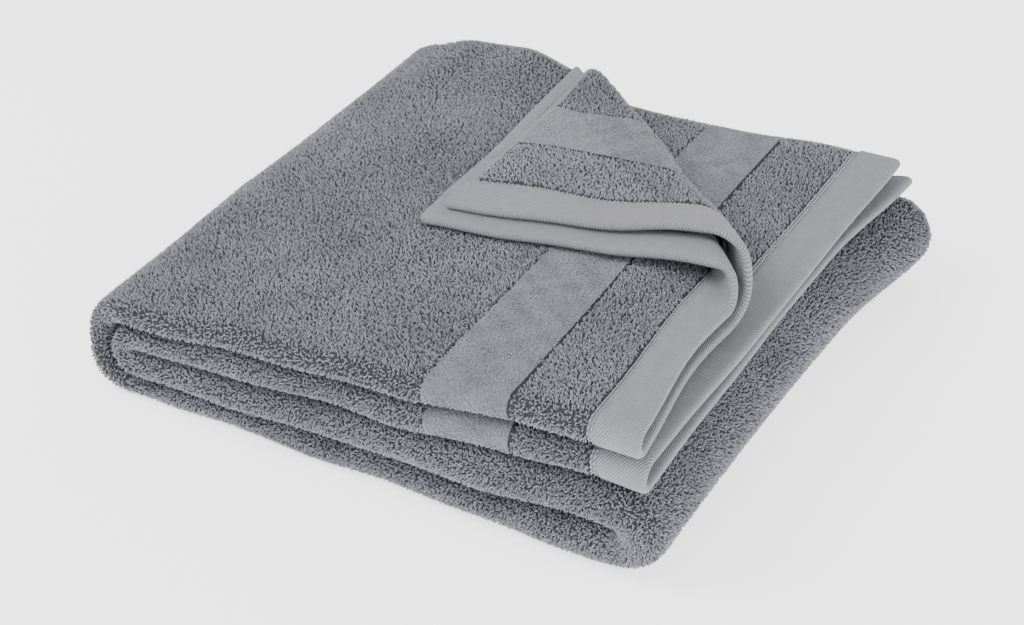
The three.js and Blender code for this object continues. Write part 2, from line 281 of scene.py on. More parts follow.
def place(s, c):
    """Where the middle of the cloth lies, at a place on the flat towel."""
    side = np.where(c >= 0, 1.0, -1.0)
    radius, start = front_turn(s)
    bend = np.minimum(np.abs(c) / radius, np.pi / 2)
    y = start + radius * (1 - np.cos(bend)) + np.maximum(np.abs(c) - radius * np.pi / 2, 0)
    x, z, half, _, out_x, out_z = strip(s, y)
    offset = side * np.sin(bend) * (half - PLY / 2)
    on_top = s < STARTS["outer"]
    folded = np.stack([x + out_x * offset, y, z + out_z * offset], -1)
    folded[on_top] = np.stack(turn_back(x, y, offset), -1)[on_top]
    return settle_unevenly(folded)


def cloth_frame(s, c):
    """The middle of the cloth, the unit vectors along s and c, and the normal of its outer face."""
    step = 0.4 * MM
    along = place(s + step, c) - place(s - step, c)
    across = place(s, c + step) - place(s, c - step)
    along /= np.linalg.norm(along, axis=-1, keepdims=True)
    across /= np.linalg.norm(across, axis=-1, keepdims=True)
    normal = np.cross(across, along)
    normal /= np.linalg.norm(normal, axis=-1, keepdims=True)
    return place(s, c), along, across, normal


def groove(distance, width):
    return np.exp(-((distance / width) ** 2))


def round_corner(s, c):
    """Moves a place near a corner of the flat towel inward, so that the corner is round."""
    end = min(s, TOWEL_LENGTH - s)
    edge = HALF_WIDTH - abs(c)
    if end >= ROUND or edge >= ROUND:
        return s, c
    pull = 1 - max(ROUND - end, ROUND - edge) / math.hypot(ROUND - end, ROUND - edge)
    s_way = 1 if s < TOWEL_LENGTH / 2 else -1
    return s + s_way * pull * (ROUND - end), c - math.copysign(pull * (ROUND - edge), c)


def rim_distance(s, c):
    """How far a place is from the edge of the flat towel."""
    end = np.minimum(s, TOWEL_LENGTH - s)
    edge = HALF_WIDTH - np.abs(c)
    in_corner = (end < ROUND) & (edge < ROUND)
    return np.where(in_corner, ROUND - np.hypot(ROUND - end, ROUND - edge), np.minimum(end, edge))


def hem_out(s):
    """How far the cloth stands outward of the middle of its ply."""
    return HEM_OUT * (1 - ease((np.minimum(s, TOWEL_LENGTH - s) - HEM_END) / (2 * MM)))


def body_half(s, c):
    """Half the thickness of the cloth without its loops."""
    end = np.minimum(s, TOWEL_LENGTH - s)
    edge = HALF_WIDTH - np.abs(c)
    half = np.full_like(end, BODY)
    band = ease((end - BORDER_END) / MM) * (1 - ease((end - BAND_END + MM) / MM))
    fluff = 0.16 * MM * (np.sin(1900 * s + 3 * np.sin(1300 * c)) + np.sin(1700 * c + 3 * np.sin(1500 * s)))
    half += band * (VELOUR - BODY + fluff) * ease((edge - SIDE_RIM / 2) / (2 * MM))
    half += (1 - ease((end - HEM_END) / MM)) * (HEM - BODY)
    for at in (HEM_END, SEAM_END, BORDER_END, BAND_END):
        half -= 0.7 * MM * groove(end - at, 0.7 * MM)
    near = np.clip(rim_distance(s, c) / half, 0, 1)
    return half * np.sqrt(np.maximum(1 - (1 - near) ** 2, 0.004))


# ------------------------------------------------------------------ materials
def cotton(name, colour, roughness, sheen, build):
    """A cloth material. build adds the nodes that vary its colour and bump."""
    material = bpy.data.materials.new(name)
    material.use_nodes = True
    tree = material.node_tree
    shader = tree.nodes["Principled BSDF"]
    shader.inputs["Roughness"].default_value = roughness
    shader.inputs["Sheen Weight"].default_value = sheen
    shader.inputs["Sheen Roughness"].default_value = 0.6
    shader.inputs["Specular IOR Level"].default_value = 0.15
    build(tree, shader, colour)
    return material


def node(tree, kind, **settings):
    made = tree.nodes.new(kind)
    for key, value in settings.items():
        if key in made.inputs:
            made.inputs[key].default_value = value
        else:
            setattr(made, key, value)
    return made


def shade(tree, shader, colour, value, low, high):
    """Varies the colour between two brightnesses by a value from 0 to 1."""
    ramp = node(tree, "ShaderNodeValToRGB")
    ramp.color_ramp.elements[0].color = (*[low * part for part in colour], 1)
    ramp.color_ramp.elements[1].color = (*[high * part for part in colour], 1)
    tree.links.new(value, ramp.inputs["Fac"])
    tree.links.new(ramp.outputs["Color"], shader.inputs["Base Color"])


def flat_place(tree, scale):
    """The place on the flat towel, scaled for a texture."""
    uv = node(tree, "ShaderNodeUVMap", uv_map="flat")
    mapping = node(tree, "ShaderNodeMapping", Scale=(scale, scale, scale))
    tree.links.new(uv.outputs["UV"], mapping.inputs["Vector"])
    return mapping.outputs["Vector"]


def add_bump(tree, shader, height, distance, strength=1.0):
    bump = node(tree, "ShaderNodeBump", Distance=distance, Strength=strength)
    tree.links.new(height, bump.inputs["Height"])
    tree.links.new(bump.outputs["Normal"], shader.inputs["Normal"])


def loop_nodes(tree, shader, colour):
    tint = node(tree, "ShaderNodeAttribute", attribute_name="tint")
    shade(tree, shader, colour, tint.outputs["Fac"], 0.12, 1.62)


def shaded_ground_nodes(tree, shader, colour):
    noise = node(tree, "ShaderNodeTexNoise", Scale=1.0, Detail=3.0)
    tree.links.new(flat_place(tree, 900), noise.inputs["Vector"])
    # The woven ground is painted far darker than the loops' yarn, as painted shade in the gaps between the
    # loops; the noise varies its tone.
    shade(tree, shader, colour, noise.outputs["Fac"], 0.15, 0.4)
    add_bump(tree, shader, noise.outputs["Fac"], 1.2 * MM)


def velour_nodes(tree, shader, colour):
    fine = node(tree, "ShaderNodeTexNoise", Scale=1.0, Detail=4.0, Roughness=0.7)
    tree.links.new(flat_place(tree, 750), fine.inputs["Vector"])
    shade(tree, shader, colour, fine.outputs["Fac"], 0.55, 1.45)
    add_bump(tree, shader, fine.outputs["Fac"], 1.3 * MM)


def twill_nodes(tree, shader, colour):
    place_uv = flat_place(tree, 1)
    ribs = node(tree, "ShaderNodeTexWave", Scale=370.0, Distortion=1.2, Detail=2.0)
    ribs.inputs["Detail Scale"].default_value = 3.0
    ribs.wave_type = "BANDS"
    ribs.bands_direction = "DIAGONAL"
    tree.links.new(place_uv, ribs.inputs["Vector"])
    grain = node(tree, "ShaderNodeTexNoise", Scale=110.0, Detail=6.0, Roughness=0.75)
    tree.links.new(place_uv, grain.inputs["Vector"])
    both = node(tree, "ShaderNodeMath", operation="ADD")
    tree.links.new(ribs.outputs["Fac"], both.inputs[0])
    tree.links.new(grain.outputs["Fac"], both.inputs[1])
    half = node(tree, "ShaderNodeMath", operation="MULTIPLY")
    half.inputs[1].default_value = 0.5
    tree.links.new(both.outputs["Value"], half.inputs[0])
    shade(tree, shader, colour, half.outputs["Value"], 0.45, 1.5)
    add_bump(tree, shader, half.outputs["Value"], 0.7 * MM)


GREY = (0.186, 0.183, 0.216)
loops_cotton = cotton("terry_loops", GREY, 0.95, 0.25, loop_nodes)
shaded_ground_cotton = cotton("terry_ground_painted_shade", GREY, 1.0, 0.0, shaded_ground_nodes)
velour_cotton = cotton("sheared_velour", (0.165, 0.167, 0.195), 0.95, 0.3, velour_nodes)
twill_cotton = cotton("hem_twill", (0.218, 0.218, 0.244), 0.85, 0.15, twill_nodes)
tuft_cotton = cotton("velour_tufts", (0.180, 0.181, 0.208), 0.95, 0.3, loop_nodes)
thread_cotton = cotton("sewing_thread", (0.25, 0.25, 0.28), 0.8, 0.15, loop_nodes)


# ------------------------------------------------------------------ meshes
def new_mesh(name, points, faces, material, chart, tint):
    """A smooth mesh object. faces is an array with one row of corners for each face.

    chart is where those corners lie on the texture, and tint is a brightness for each point: the thread's own
    tone, with painted shade towards its roots."""
    mesh = bpy.data.meshes.new(name)
    sides = faces.shape[1]
    mesh.vertices.add(len(points))
    mesh.vertices.foreach_set("co", points.astype(np.float32).ravel())
    mesh.loops.add(faces.size)
    mesh.loops.foreach_set("vertex_index", faces.astype(np.int32).ravel())
    mesh.polygons.add(len(faces))
    mesh.polygons.foreach_set("loop_start", np.arange(0, faces.size, sides, dtype=np.int32))
    mesh.polygons.foreach_set("use_smooth", np.ones(len(faces), bool))
    mesh.materials.append(material)
    mesh.uv_layers.new(name="OFBake").data.foreach_set("uv", chart.astype(np.float32).ravel())
    tone_with_root_shade = mesh.attributes.new("tint", "FLOAT", "POINT")
    tone_with_root_shade.data.foreach_set("value", tint.astype(np.float32).ravel())
    mesh.update(calc_edges=True)
    mesh.validate()
    made = bpy.data.objects.new(name, mesh)
    bpy.context.scene.collection.objects.link(made)
    return made


def steps(*stops):
    """Places from stop to stop: each stop after the first is (end, spacing)."""
    places = [stops[0]]
    for end, spacing in stops[1:]:
        count = max(1, round((end - places[-1]) / spacing))
        places += list(np.linspace(places[-1], end, count + 1)[1:])
    return np.array(places)


def end_steps(far, spacing):
    """Places from the woven end into the towel, close together where the weave changes."""
    rim = [0, 0.15 * MM, 0.5 * MM, 1.1 * MM, 2.2 * MM]
    seam = steps(
        4 * MM, (HEM_END - MM, 2.6 * MM), (SEAM_END + MM, 0.5 * MM), (BORDER_END - 1.5 * MM, 2.4 * MM),
        (BORDER_END + 2 * MM, 0.5 * MM), (BAND_END - 2 * MM, 1.3 * MM), (BAND_END + 1.5 * MM, 0.5 * MM),
        (far, spacing),
    )
    return np.concatenate([rim, seam])


def side_steps(inner, spacing):
    """Distances from the long edge towards the lengthwise fold."""
    return np.concatenate([[0, 0.15 * MM, 0.5 * MM, 1.1 * MM, 2.2 * MM], steps(4 * MM, (inner, spacing))])


def across_steps(spacing=3 * MM):
    """Places across the whole towel, close together round the lengthwise fold."""
    side = HALF_WIDTH - side_steps(HALF_WIDTH - FRONT, spacing)[::-1]
    turn = steps(0, (FRONT, 1.4 * MM))
    one = np.concatenate([turn[:-1], side])
    return np.concatenate([-one[:0:-1], one])


def plate(s_lines, c_lines, cuts=()):
    """A flat closed plate on the flat towel, as a bmesh whose z is 1 on the outer face and -1 on the other.

    Each cut is a point, a normal and the sign of c on its ply, and what lies past it is taken away."""
    flat = bmesh.new()
    grid = [
        [[flat.verts.new((*round_corner(s, c), z)) for c in c_lines] for s in s_lines]
        for z in (1, -1)
    ]
    rows, columns = len(s_lines), len(c_lines)
    for z in (0, 1):
        for i in range(rows - 1):
            for j in range(columns - 1):
                ring = [grid[z][i][j], grid[z][i][j + 1], grid[z][i + 1][j + 1], grid[z][i + 1][j]]
                flat.faces.new(ring if z == 0 else ring[::-1])
    rim = [(i, 0) for i in range(rows)] + [(rows - 1, j) for j in range(1, columns)]
    rim += [(i, columns - 1) for i in range(rows - 2, -1, -1)] + [(0, j) for j in range(columns - 2, 0, -1)]
    for (i, j), (k, m) in zip(rim, rim[1:] + rim[:1]):
        flat.faces.new([grid[0][i][j], grid[0][k][m], grid[1][k][m], grid[1][i][j]][::-1])
    for point, normal, sign in cuts:
        near = [v for v in flat.verts if v.co.y * sign > AWAY_FROM_FRONT]
        near_edges = list({e for v in near for e in v.link_edges})
        near_faces = list({f for v in near for f in v.link_faces})
        cut = bmesh.ops.bisect_plane(
            flat, geom=near + near_edges + near_faces, dist=1e-7,
            plane_co=point, plane_no=normal, clear_outer=True,
        )
        open_verts = {v for e in cut["geom_cut"] if isinstance(e, bmesh.types.BMEdge) for v in e.verts}
        upper = sorted((v for v in open_verts if v.co.z > 0), key=lambda v: v.co.y)
        lower = sorted((v for v in open_verts if v.co.z < 0), key=lambda v: v.co.y)
        for i in range(len(upper) - 1):
            flat.faces.new([upper[i], upper[i + 1], lower[i + 1], lower[i]])
    bmesh.ops.triangulate(flat, faces=[f for f in flat.faces if len(f.verts) > 4])
    bmesh.ops.recalc_face_normals(flat, faces=flat.faces)
    return flat


def face_means(values, starts, counts):
    """The mean of a value over the corners of each face."""
    return np.add.reduceat(values, starts) / counts


def sew(name, flat):
    """Folds a flat plate into place and gives it the cloth's thickness and materials.

    Returns the cloth and its flat area."""
    area = sum(f.calc_area() for f in flat.faces if all(v.co.z > 0 for v in f.verts))
    mesh = bpy.data.meshes.new(name)
    flat.to_mesh(mesh)
    flat.free()
    flat_points = np.zeros(len(mesh.vertices) * 3)
    mesh.vertices.foreach_get("co", flat_points)
    s, c, face = flat_points.reshape(-1, 3).T
    middle, _, _, normal = cloth_frame(s, c)
    half = body_half(s, c)
    mesh.vertices.foreach_set("co", (middle + normal * (half * np.sign(face) + hem_out(s))[:, None]).ravel())

    corners = np.zeros(len(mesh.loops), int)
    edges = np.zeros(len(mesh.loops), int)
    starts = np.zeros(len(mesh.polygons), int)
    counts = np.zeros(len(mesh.polygons), int)
    mesh.loops.foreach_get("vertex_index", corners)
    mesh.loops.foreach_get("edge_index", edges)
    mesh.polygons.foreach_get("loop_start", starts)
    mesh.polygons.foreach_get("loop_total", counts)
    face_s, face_c, side = (face_means(values[corners], starts, counts) for values in (s, c, face))
    end = np.minimum(face_s, TOWEL_LENGTH - face_s)
    flat_weave = (end < SEAM_END) | (HALF_WIDTH - np.abs(face_c) < np.where(side > 0, SIDE_RIM, SIDE_HEM))
    sheared = (end > BORDER_END + MM) & (end < BAND_END)
    mesh.polygons.foreach_set("material_index", np.where(flat_weave, 2, np.where(sheared, 1, 0)))
    cut = (np.abs(side) < 0.9) & (face_means(half[corners], starts, counts) > MM)
    mesh.polygons.foreach_set("use_smooth", ~cut)
    sharp = np.zeros(len(mesh.edges), bool)
    sharp[edges[np.repeat(cut, counts)]] = True
    mesh.edges.foreach_set("use_edge_sharp", sharp)

    chart_s = (s - s.min()) / np.ptp(s)
    chart_c = (c - c.min()) / np.ptp(c) * 0.49
    shift = np.repeat(np.where(side > 0, 0, 0.5), counts)
    chart = np.stack([chart_s[corners], chart_c[corners] + shift], -1)
    mesh.uv_layers.new(name="OFBake").data.foreach_set("uv", chart.ravel())
    mesh.uv_layers.new(name="flat").data.foreach_set("uv", np.stack([s[corners], c[corners]], -1).ravel())
    for material in (shaded_ground_cotton, velour_cotton, twill_cotton):
        mesh.materials.append(material)
    mesh.update()
    made = bpy.data.objects.new(name, mesh)
    bpy.context.scene.collection.objects.link(made)
    return made, area


# ------------------------------------------------------------------ loops and stitches
RINGS = 3  # rings of points along each thread
SIDES = 3  # points in each ring


def arches(name, s, c, face, lean, length, height, radius, tint, material):
    """Small bent threads that stand on the cloth: each rises from it, leans over and goes back in."""
    middle, along, across, normal = cloth_frame(s, c)
    normal = normal * face[:, None]
    ahead = along * np.cos(lean)[:, None] + across * np.sin(lean)[:, None]
    beside = np.cross(normal, ahead)
    foot = middle + normal * (body_half(s, c) + face * hem_out(s) - 0.5 * MM)[:, None]
    points = np.zeros((len(s), RINGS, SIDES, 3))
    tone_with_root_shade = np.zeros((len(s), RINGS, SIDES))
    for k in range(RINGS):
        turn = math.pi * (0.04 + 0.92 * k / (RINGS - 1))
        centre = foot + ahead * (length * (0.5 - 0.5 * math.cos(turn)))[:, None]
        centre = centre + normal * (height * math.sin(turn) ** 0.7 + 0.2 * MM)[:, None]
        forward = ahead * (length * math.sin(turn))[:, None] + normal * (2 * height * math.cos(turn))[:, None]
        forward /= np.linalg.norm(forward, axis=1, keepdims=True)
        upward = np.cross(forward, beside)
        thick = radius * (0.75 + 0.35 * math.sin(turn))
        for i in range(SIDES):
            angle = math.tau * i / SIDES
            out = beside * math.cos(angle) - upward * math.sin(angle)
            points[:, k, i] = centre + out * thick[:, None]
            # Each thread is painted darker towards its roots, as painted shade where it goes into the cloth;
            # tint is its own tone.
            tone_with_root_shade[:, k, i] = tint * (0.3 + 0.7 * math.sin(turn) ** 0.8)
    first = np.arange(len(s))[:, None] * RINGS * SIDES
    faces = []
    for k in range(RINGS - 1):
        for i in range(SIDES):
            j = (i + 1) % SIDES
            faces.append(np.concatenate([first + k * SIDES + i, first + (k + 1) * SIDES + i,
                                         first + (k + 1) * SIDES + j, first + k * SIDES + j], axis=1))
    faces = np.stack(faces, axis=1).reshape(-1, 4)
    return new_mesh(name, points.reshape(-1, 3), faces, material, arch_chart(len(s)), tone_with_root_shade)


def arch_chart(count):
    """A square of the texture for each thread, with a patch of it for each face."""
    squares = math.ceil(math.sqrt(count))
    number = np.arange(count)
    corner = np.stack([number % squares, number // squares], -1)[:, None, None, :] + 0.1
    patches = []
    for k in range(RINGS - 1):
        for i in range(SIDES):
            low = np.array([i / SIDES, k / (RINGS - 1)])
            high = np.array([(i + 1) / SIDES, (k + 1) / (RINGS - 1)])
            patches.append([(low[0], low[1]), (low[0], high[1]), (high[0], high[1]), (high[0], low[1])])
    return ((corner + 0.8 * np.array(patches)[None]) / squares).reshape(-1, 2)


def scatter(s_range, c_range, pitch, dense_s=1.0, dense_c=1.0):
    """Places on the flat towel in rows, each moved a little at random.

    The dense factors bring rows and columns closer together where the outside of a fold spreads them."""
    rows = np.arange(s_range[0], s_range[1], pitch / dense_s)
    columns = np.arange(c_range[0], c_range[1], pitch / dense_c)
    s, c = np.meshgrid(rows, columns, indexing="ij")
    s, c = s.ravel(), c.ravel()
    s = s + random.uniform(-0.42, 0.42, s.shape) * pitch / dense_s
    return s, c + random.uniform(-0.42, 0.42, c.shape) * pitch / dense_c


def has_loops(s, c, rim):
    """Where the weave has loops, up to a rim along the long edges."""
    end = np.minimum(s, TOWEL_LENGTH - s)
    edge = HALF_WIDTH - np.abs(c)
    border = (end > SEAM_END + 0.7 * MM) & (end < BORDER_END - 1.2 * MM)
    field = end > BAND_END + 0.4 * MM
    return (border | field) & (edge > rim)


def terry(name, s, c, face=1, rim=SIDE_RIM, size=1.0, bright=0.0):
    """Terry loops at these places."""
    keep = has_loops(s, c, rim)
    s, c = s[keep], c[keep]
    if not len(s):
        return None
    flow = 2.2 * np.sin(60 * s + 25 * c) + 1.8 * np.sin(43 * c - 31 * s + 1) + random.normal(0, 1.1, s.shape)
    length = random.uniform(1.1, 2.1, s.shape) * MM * size
    height = random.uniform(1.3, 2.3, s.shape) * MM
    radius = random.uniform(0.38, 0.48, s.shape) * MM * size
    patches = 0.05 * np.sin(31 * s + 22 * c) + 0.04 * np.sin(67 * c - 45 * s + 2)
    patches = patches + 0.03 * np.sin(140 * s + 90 * c)
    # bright makes the loops lighter; on the turned corner the extra over the second leaf is painted light.
    tint = np.clip(random.normal(0.70 + bright, 0.16, s.shape) + patches, 0.3, 1)
    return arches(name, s, c, np.full(s.shape, float(face)), flow, length, height, radius, tint, loops_cotton)


def past_crease(s, c):
    """How far a place on the flat towel lies past the crease, on the top leaf away from the front."""
    radius, start = front_turn(s)
    y = start + radius + np.abs(c) - radius * np.pi / 2
    x = X_ENDS - s
    return (x - PIVOT[0]) * TO_CORNER[0] + (y - PIVOT[1]) * TO_CORNER[1]


def on_flat(side, beside, past):
    """The place on the flat towel that is this far along and past the crease, on one ply of the top leaf."""
    x = PIVOT[0] + beside * LEVEL[0] + past * TO_CORNER[0]
    y = PIVOT[1] + beside * LEVEL[1] + past * TO_CORNER[1]
    radius, start = front_turn(np.array([X_ENDS - x]))
    return Vector((X_ENDS - x, side * float(y - start[0] - radius[0] * (1 - math.pi / 2)), 0))


def crease_cut(side, line, keep):
    """The cut for plate() along the line between two places, given as on_flat() takes them.

    It keeps the side that a third place lies on."""
    first, second, kept = (on_flat(side, *spot) for spot in (*line, keep))
    normal = Vector((second.y - first.y, first.x - second.x, 0))
    return first, -normal if normal.dot(kept - first) > 0 else normal, side


def cut_past(side, distance, keep_corner):
    line = [(-CREASE_HALF, distance), (CREASE_HALF, distance)]
    return crease_cut(side, line, (0, distance + (1 if keep_corner else -1) * 0.05))


def cut_beside(side, distance, keep):
    return crease_cut(side, [(distance, 0), (distance, 0.03)], (keep, 0))


def nodes_of(*starts):
    return [name for name in frame["nodes"] if name.startswith(starts)]


def declare(piece, area, length, pieces):
    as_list(pieces)


# ------------------------------------------------------------------ the pieces of cloth and their pile
BEND_END = {side: math.pi * bend_radius(side, CREASE_HALF) + 2 * MM for side in (1, -1)}
BEND_START = -3 * MM
CORNER_SIZE = 0.222  # the side of a square of the flat towel that holds the turned corner and its bend
CORNER = HALF_WIDTH - CORNER_SIZE
FINE = 1.4 * MM  # between loops on the faces in view
SPARSE = 2.3 * MM  # between loops inside the folds
COARSE = 2.8 * MM  # between loops on covered faces
BEND_LOOP = 2 * MM  # between loops inside the bend at the crease
EDGE_BAND = 32 * MM  # of loops along the long edge, on the inner face of the corner's lower ply
TUFT = 1.15 * MM  # between tufts in view
UNDER_TUFT = 1.6 * MM  # between tufts on covered faces
CORNER_TUFT = 1.5 * MM  # between tufts under the turned corner
UNCOVERED = -25 * MM  # the leaf below is made as in view from this far past the crease, so from before it

run_ends = [(STARTS[name], 6 * MM) for name in ("right", "third", "inner", "second")]
base_lines = steps(STARTS["bottom"], *run_ends, (TOWEL_LENGTH - 0.16, 6 * MM))
base_lines = np.concatenate([base_lines[:-1], TOWEL_LENGTH - end_steps(0.16, 4 * MM)[::-1]])
base_cloth, _ = sew("stack_cloth", plate(base_lines, across_steps(5 * MM)))
wrap_lines = steps(STARTS["outer"], (STARTS["bottom"], 2.5 * MM))
wrap_cloth, _ = sew("outer_fold_cloth", plate(wrap_lines, across_steps(4 * MM)))
top_plate = plate(
    end_steps(STARTS["outer"], 3 * MM), across_steps(3 * MM),
    [cut_past(side, BEND_START, False) for side in (1, -1)],
)
top_cloth, top_area = sew("top_leaf_cloth", top_plate)


def corner_plate(side, spacing, cuts):
    """One ply of the towel's corner, on the flat towel."""
    c_lines = side * (HALF_WIDTH - side_steps(CORNER_SIZE, spacing))
    return plate(end_steps(CORNER_SIZE, spacing), np.sort(c_lines), cuts)


PLIES = {1: "lower_ply", -1: "upper_ply"}
corner_cloth = {
    side: sew(f"corner_{ply}", corner_plate(side, 2.5 * MM, [cut_past(side, BEND_END[side], True)]))
    for side, ply in PLIES.items()
}
# The bend is made in parts between these places along the crease
PARTS = np.linspace(-CREASE_HALF, CREASE_HALF, 6)


def bend_part(side, k):
    """One ply of the bend, between two places along the crease."""
    cuts = [cut_past(side, BEND_START, True), cut_past(side, BEND_END[side], False)]
    middle = (PARTS[k] + PARTS[k + 1]) / 2
    if k > 0:
        cuts.append(cut_beside(side, PARTS[k], middle))
    if k < len(PARTS) - 2:
        cuts.append(cut_beside(side, PARTS[k + 1], middle))
    return sew(f"corner_bend_{PLIES[side]}_{k + 1}", corner_plate(side, 1.5 * MM, cuts))


bend_cloth = {side: [bend_part(side, k) for k in range(len(PARTS) - 1)] for side in PLIES}

# ------------------------------------------------------------------ the loops on the leaves and folds
all_s = (0, STARTS["outer"])
s, c = scatter(all_s, (-FRONT, HALF_WIDTH), FINE)
stay = past_crease(s, c) < 0
top_loops = terry("top_leaf_loops", s[stay | (c < 0)], c[stay | (c < 0)])
s, c = scatter(all_s, (-HALF_WIDTH, -FRONT), COARSE)
stay = past_crease(s, c) < 0
under_loops = terry("top_leaf_under_loops", s[stay], c[stay], size=1.3)
wrap_range = (STARTS["outer"], STARTS["bottom"])
wrap_loops = terry("outer_fold_loops", *scatter(wrap_range, (-FRONT, HALF_WIDTH), FINE, dense_s=1.35))
s, c = scatter(wrap_range, (-HALF_WIDTH, -FRONT), SPARSE)
wrap_inner_loops = terry("outer_fold_inner_loops", s, c, size=1.2)
inner_range = (STARTS["inner"], STARTS["second"])
s, c = scatter(inner_range, (-HALF_WIDTH, -STACK_FRONT), SPARSE, dense_s=1.8)
inner_loops = terry("inner_fold_loops", s, c, size=1.2)
front_range = (STARTS["bottom"], TOWEL_LENGTH)
s, c = scatter(front_range, (-STACK_FRONT, STACK_FRONT), FINE, dense_c=1.8)
front_loops = terry("stack_front_loops", s, c)
right_range = (STARTS["right"], STARTS["third"])
s, c = scatter(right_range, (STACK_FRONT, HALF_WIDTH), FINE, dense_s=1.6)
right_loops = terry("right_fold_loops", s, c)
second_range = (STARTS["second"], TOWEL_LENGTH)
s, c = scatter(second_range, (-HALF_WIDTH, -STACK_FRONT), FINE)
shown = past_crease(TOWEL_LENGTH - s, c) > UNCOVERED
second_loops = terry("second_leaf_loops", s[shown], c[shown], bright=0.07)
s, c = scatter(second_range, (-HALF_WIDTH, -STACK_FRONT), COARSE)
hidden = past_crease(TOWEL_LENGTH - s, c) <= UNCOVERED
second_under_loops = terry("second_leaf_covered_loops", s[hidden], c[hidden], size=1.3)


def on_bend(make, name, side, s, c):
    """The threads on each part of the bend, by its number. make takes a name and the places."""
    past = past_crease(s, c)
    # The crease runs at 45 degrees to the towel's edges
    beside = (X_ENDS - s - PIVOT[0]) * math.sqrt(2) - past
    made = {}
    for k in range(len(PARTS) - 1):
        low = -np.inf if k == 0 else PARTS[k]
        high = np.inf if k == len(PARTS) - 2 else PARTS[k + 1]
        here = (past >= 0) & (past < BEND_END[side]) & (beside >= low) & (beside < high)
        if here.any():
            found = make(f"{name}_{k + 1}", s[here], c[here])
            if found is not None:
                made[k] = found
    return made


# ------------------------------------------------------------------ the loops on the turned corner
corner_s = (0, CORNER_SIZE)
s, c = scatter(corner_s, (-HALF_WIDTH, -CORNER), FINE)
turned = past_crease(s, c) >= BEND_END[-1]
# The turned corner's loops are made lighter than those of the second leaf, as painted light on the raised
# corner.
corner_loops = terry("corner_upper_loops", s[turned], c[turned], bright=0.22)
upper_bend_loops = on_bend(terry, "corner_bend_upper_loops", -1, s, c)
s, c = scatter(corner_s, (HALF_WIDTH - EDGE_BAND, HALF_WIDTH), FINE)
turned = past_crease(s, c) > BEND_END[1] + MM
edge_loops = terry("corner_edge_loops", s[turned], c[turned], face=-1, rim=SIDE_HEM + MM)
s, c = scatter(corner_s, (CORNER, HALF_WIDTH), COARSE)
turned = past_crease(s, c) >= BEND_END[1]
corner_under_loops = terry("corner_lower_loops", s[turned], c[turned], size=1.3)
s, c = scatter(corner_s, (CORNER, HALF_WIDTH), BEND_LOOP)
lower_bend_loops = on_bend(terry, "corner_bend_lower_loops", 1, s, c)


# ------------------------------------------------------------------ the sheared tufts
def velour(name, s, c, bright=0.0):
    """Short sheared tufts at these places, where the band is."""
    end = np.minimum(s, TOWEL_LENGTH - s)
    keep = (end > BORDER_END + MM) & (end < BAND_END - 0.3 * MM) & (HALF_WIDTH - np.abs(c) > SIDE_RIM)
    s, c = s[keep], c[keep]
    if not len(s):
        return None
    count = s.shape
    patches = 0.10 * np.sin(210 * s + 90 * c + 2 * np.sin(130 * c)) + 0.07 * np.sin(330 * c - 240 * s)
    # bright makes the tufts lighter; on the turned corner the extra over the second leaf is painted light.
    tint = np.clip(random.normal(0.78 + bright, 0.09, count) + patches, 0.4, 1.1)
    size = random.uniform(0.8, 1.2, count) * MM
    lean = random.uniform(0, math.tau, count)
    return arches(name, s, c, np.ones(count), lean, 0.9 * size, 0.85 * size, 0.46 * size, tint, tuft_cotton)


band_s = (BORDER_END, BAND_END)
far_band_s = (TOWEL_LENGTH - BAND_END, TOWEL_LENGTH - BORDER_END)
s, c = scatter(band_s, (-FRONT, HALF_WIDTH), TUFT)
stay = past_crease(s, c) < 0
top_tufts = velour("top_leaf_band_tufts", s[stay | (c < 0)], c[stay | (c < 0)])
s, c = scatter(band_s, (-HALF_WIDTH, -CORNER), TUFT)
turned = past_crease(s, c) >= BEND_END[-1]
# The turned corner's tufts are made lighter than those of the second leaf, as painted light on the raised
# corner.
corner_tufts = velour("corner_upper_band_tufts", s[turned], c[turned], bright=0.3)
bend_tufts = on_bend(velour, "corner_bend_upper_band_tufts", -1, s, c)
s, c = scatter(band_s, (CORNER, HALF_WIDTH), CORNER_TUFT)
turned = past_crease(s, c) >= BEND_END[1]
corner_under_tufts = velour("corner_lower_band_tufts", s[turned], c[turned])
bend_under_tufts = on_bend(velour, "corner_bend_lower_band_tufts", 1, s, c)
s, c = scatter(band_s, (-HALF_WIDTH, -FRONT), UNDER_TUFT)
stay = past_crease(s, c) < 0
top_under_tufts = velour("top_leaf_under_band_tufts", s[stay], c[stay])
s, c = scatter(far_band_s, (-HALF_WIDTH, STACK_FRONT), TUFT)
shown = (past_crease(TOWEL_LENGTH - s, c) > UNCOVERED) | (np.abs(c) < FRONT)
second_tufts = velour("second_leaf_band_tufts", s[shown], c[shown], bright=0.05)
s, c = scatter(far_band_s, (-HALF_WIDTH, -FRONT), UNDER_TUFT)
covered = past_crease(TOWEL_LENGTH - s, c) <= UNCOVERED
covered_tufts = velour("second_leaf_covered_band_tufts", s[covered], c[covered], bright=0.05)


# ------------------------------------------------------------------ the stitches
def rows_of_stitches(rows, c_range):
    """The places of the stitches in rows across the towel, at distances from its woven end."""
    places = np.arange(c_range[0], c_range[1], 2.3 * MM)
    c, s = np.meshgrid(places, np.array(rows))
    return s.ravel(), c.ravel() + random.uniform(-0.2, 0.2, s.size) * MM


def stitches(name, s, c):
    """Stitches at these places."""
    count = s.shape
    lean = math.pi / 2 + random.normal(0.25, 0.12, count)
    tint = np.clip(random.normal(0.85, 0.08, count), 0.5, 1)
    size = np.full(count, MM)
    return arches(name, s, c, np.ones(count), lean, 2.5 * size, 1.0 * size, 0.5 * size, tint, thread_cotton)


